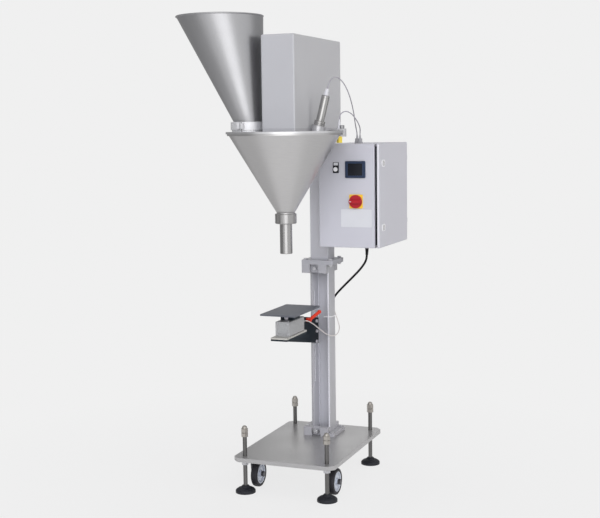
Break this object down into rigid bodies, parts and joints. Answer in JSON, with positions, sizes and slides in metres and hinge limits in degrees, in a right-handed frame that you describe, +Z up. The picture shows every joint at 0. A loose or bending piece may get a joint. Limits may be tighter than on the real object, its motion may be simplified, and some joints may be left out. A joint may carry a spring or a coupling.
{
  "type": "auger powder filler",
  "caption": "Post-mounted auger powder filler: drive box, product hopper with screw and dosing tube, infeed funnel, control cabinet and height-adjustable weighing table.",
  "frame": {"origin": "bottom centre of the machine's bounding box, on the floor, measured without the loose cables", "axes": "+Z up, -Y towards the operator at the front, +X to the operator's right, where the cabinet hangs"},
  "size_m": [0.8805, 1.07, 2.25],
  "materials": {
    "stand_paint": "satin grey-blue powder coat",
    "cabinet_paint": "fine structured light grey powder coat",
    "box_paint": "smooth light grey powder coat",
    "zinc": "zinc plated",
    "rim": "cast, matt",
    "tyre": "black rubber",
    "stainless": "polished stainless steel",
    "head_steel": "satin grey powder coat",
    "drive_metal": "machined, matt",
    "motor_black": "matt black",
    "belt": "black rubber",
    "switch_black": "black plastic",
    "switch_white": "pale plastic",
    "switch_yellow": "yellow plastic",
    "gasket": "black foam rubber",
    "lock": "bright zinc",
    "devices": "grey plastic",
    "hmi": "dark blue plastic",
    "screen": "dark glossy display",
    "legend": "black plastic",
    "button": "pale plastic",
    "yellow": "yellow plastic",
    "red": "red plastic",
    "gland": "grey plastic",
    "black_paint": "satin black",
    "cell_plate": "bare, matt",
    "cell": "matt anodised",
    "pan": "dark grey coat",
    "lever": "orange-red plastic",
    "black_cable": "black cable sheath",
    "pale_cable": "pale grey cable sheath"
  },
  "bodies": {
    "stand": {"base_plate": "stand_paint", "wheel_brackets": "zinc", "foot_collar": "stand_paint", "top_collar": "stand_paint", "lower_post": "stand_paint", "upper_post": "stand_paint", "stand_fasteners": "zinc", "head_plate": "head_steel", "drive_box": "box_paint", "hopper_lid": "stainless", "hopper_cone": "stainless", "coupling_collar": "stainless", "auger_tube": "stainless", "gear_case": "drive_metal", "servo_motor": "motor_black", "drive_belt": "belt", "infeed_hopper": "stainless", "infeed_collar": "stainless", "level_probe": "stainless", "lid_clamps": "zinc", "lid_switch": "switch_black", "lid_switch_fitting": "switch_white", "lid_switch_key": "switch_yellow", "cabinet_body": "cabinet_paint", "mounting_plate": "zinc", "cabinet_devices": "devices", "hmi_bezel": "hmi", "hmi_screen": "screen", "button_plate": "legend", "switch_plate": "yellow", "cable_glands": "gland", "power_lead": "black_cable", "cell_lead": "pale_cable", "probe_lead": "pale_cable", "switch_lead": "pale_cable"},
    "door": {"cabinet_door": "cabinet_paint", "door_gasket": "gasket"},
    "lock_upper": {"door_lock_upper": "lock"},
    "lock_lower": {"door_lock_lower": "lock"},
    "button": {"push_button": "button"},
    "main_switch": {"switch_knob": "red"},
    "screw": {"auger_screw": "stainless", "screw_pulley": "drive_metal"},
    "stirrer": {"agitator": "stainless"},
    "motor_rotor": {"motor_pulley": "drive_metal"},
    "table": {"scale_bracket": "black_paint", "scale_bolts": "zinc", "cell_plate": "cell_plate", "load_cell": "cell", "pan_carrier": "black_paint", "weigh_pan": "pan"},
    "lever": {"clamp_lever": "lever"},
    "wheel_left": {"wheel_rim_left": "rim", "wheel_tyre_left": "tyre"},
    "wheel_right": {"wheel_rim_right": "rim", "wheel_tyre_right": "tyre"},
    "foot_fl": {"foot_front_left": "zinc"},
    "foot_fr": {"foot_front_right": "zinc"},
    "foot_rl": {"foot_rear_left": "zinc"},
    "foot_rr": {"foot_rear_right": "zinc"}
  },
  "joints": [
    {"name": "door_hinge", "type": "hinge", "parent": "stand", "child": "door", "pos_m": [0.42, 0.528, 1.4], "axis": [0, 0, 1], "range_deg": [0, 115]},
    {"name": "upper_lock_turn", "type": "hinge", "parent": "door", "child": "lock_upper", "pos_m": [0.43775, 0.113, 1.555], "axis": [1, 0, 0], "range_deg": [0, 90]},
    {"name": "lower_lock_turn", "type": "hinge", "parent": "door", "child": "lock_lower", "pos_m": [0.43775, 0.113, 1.245], "axis": [1, 0, 0], "range_deg": [0, 90]},
    {"name": "button_press", "type": "slide", "parent": "stand", "child": "button", "axis": [0, 1, 0], "range_m": [0, 0.004], "stiffness_N_per_m": 900},
    {"name": "main_switch_turn", "type": "hinge", "parent": "stand", "child": "main_switch", "pos_m": [0.32125, 0.049, 1.374], "axis": [0, 1, 0], "range_deg": [0, 90]},
    {"name": "screw_spin", "type": "hinge", "parent": "stand", "child": "screw", "pos_m": [0.08325, -0.264, 1.862], "axis": [0, 0, 1], "continuous": true},
    {"name": "stirrer_spin", "type": "hinge", "parent": "stand", "child": "stirrer", "pos_m": [0.08325, -0.264, 1.672], "axis": [0, 0, 1], "continuous": true},
    {"name": "motor_spin", "type": "hinge", "parent": "stand", "child": "motor_rotor", "pos_m": [0.08325, -0.059, 1.862], "axis": [0, 0, 1], "continuous": true},
    {"name": "table_height", "type": "slide", "parent": "stand", "child": "table", "axis": [0, 0, 1], "range_m": [-0.2, 0.15], "deforming": ["cell_lead"]},
    {"name": "lever_turn", "type": "hinge", "parent": "table", "child": "lever", "pos_m": [0.05175, 0.067, 0.783], "axis": [1, 0, 0], "range_deg": [0, 90]},
    {"name": "left_wheel_spin", "type": "hinge", "parent": "stand", "child": "wheel_left", "pos_m": [-0.09675, -0.22, 0.068], "axis": [1, 0, 0], "continuous": true},
    {"name": "right_wheel_spin", "type": "hinge", "parent": "stand", "child": "wheel_right", "pos_m": [0.29525, -0.22, 0.068], "axis": [1, 0, 0], "continuous": true},
    {"name": "foot_fl_height", "type": "slide", "parent": "stand", "child": "foot_fl", "axis": [0, 0, 1], "range_m": [-0.03, 0.01]},
    {"name": "foot_fr_height", "type": "slide", "parent": "stand", "child": "foot_fr", "axis": [0, 0, 1], "range_m": [-0.03, 0.01]},
    {"name": "foot_rl_height", "type": "slide", "parent": "stand", "child": "foot_rl", "axis": [0, 0, 1], "range_m": [-0.03, 0.01]},
    {"name": "foot_rr_height", "type": "slide", "parent": "stand", "child": "foot_rr", "axis": [0, 0, 1], "range_m": [-0.03, 0.01]}
  ],
  "couplings": [
    {"joint": "screw_spin", "follows": "stirrer_spin", "ratio": -5},
    {"joint": "motor_spin", "follows": "stirrer_spin", "ratio": -8.3333}
  ]
}
